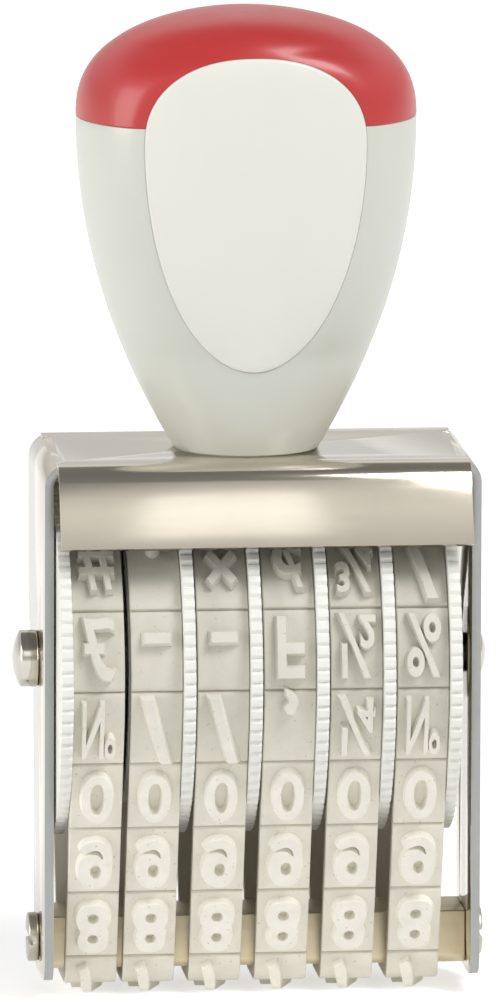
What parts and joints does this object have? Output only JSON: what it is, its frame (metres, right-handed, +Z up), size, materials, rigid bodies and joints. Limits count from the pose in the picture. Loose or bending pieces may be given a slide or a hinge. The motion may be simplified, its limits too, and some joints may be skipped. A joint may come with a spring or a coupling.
{
  "type": "numbering machine",
  "caption": "Hand band stamp: two-colour plastic grip on a bent sheet-metal frame, with serrated thumb wheels on one axle and rubber number bands that run under an anvil.",
  "frame": {"origin": "on the table, under the middle of the frame, at the middle of the part's footprint", "axes": "+Z up to the grip, front with the label plate towards -Y, +X to the right with the axle's thick head at -X"},
  "size_m": [0.0416, 0.0308, 0.0862],
  "materials": {
    "nickel_plate": "bright nickel plate",
    "grip_white": "semi-gloss moulded plastic",
    "cap_red": "gloss moulded plastic",
    "label_white": "satin, bare",
    "screw_steel": "zinc-plated",
    "axle_chrome": "chromed",
    "anvil_metal": "dull, drawn",
    "wheel_plastic": "satin moulded plastic",
    "band_rubber": "matt ivory rubber"
  },
  "bodies": {
    "root": {"frame_bracket": "nickel_plate", "handle_body": "grip_white", "handle_cap": "cap_red", "front_label_plate": "label_white", "handle_screw": "screw_steel", "handle_washer": "screw_steel", "wheel_axle": "axle_chrome", "axle_washer": "screw_steel", "printing_anvil": "anvil_metal", "anvil_screw_left": "screw_steel", "anvil_screw_right": "screw_steel", "number_band_1": "band_rubber", "number_band_2": "band_rubber", "number_band_3": "band_rubber", "number_band_4": "band_rubber", "number_band_5": "band_rubber", "number_band_6": "band_rubber"},
    "wheel_1": {"thumb_wheel_1": "wheel_plastic"},
    "wheel_2": {"thumb_wheel_2": "wheel_plastic"},
    "wheel_3": {"thumb_wheel_3": "wheel_plastic"},
    "wheel_4": {"thumb_wheel_4": "wheel_plastic"},
    "wheel_5": {"thumb_wheel_5": "wheel_plastic"},
    "wheel_6": {"thumb_wheel_6": "wheel_plastic"}
  },
  "joints": [
    {"name": "wheel_1_turn", "type": "hinge", "parent": "root", "child": "wheel_1", "pos_m": [-0.01475, 0, 0.0292], "axis": [1, 0, 0], "continuous": true},
    {"name": "wheel_2_turn", "type": "hinge", "parent": "root", "child": "wheel_2", "pos_m": [-0.0097, 0, 0.0292], "axis": [1, 0, 0], "continuous": true},
    {"name": "wheel_3_turn", "type": "hinge", "parent": "root", "child": "wheel_3", "pos_m": [-0.0039, 0, 0.0292], "axis": [1, 0, 0], "continuous": true},
    {"name": "wheel_4_turn", "type": "hinge", "parent": "root", "child": "wheel_4", "pos_m": [0.0019, 0, 0.0292], "axis": [1, 0, 0], "continuous": true},
    {"name": "wheel_5_turn", "type": "hinge", "parent": "root", "child": "wheel_5", "pos_m": [0.0077, 0, 0.0292], "axis": [1, 0, 0], "continuous": true},
    {"name": "wheel_6_turn", "type": "hinge", "parent": "root", "child": "wheel_6", "pos_m": [0.0135, 0, 0.0292], "axis": [1, 0, 0], "continuous": true}
  ]
}
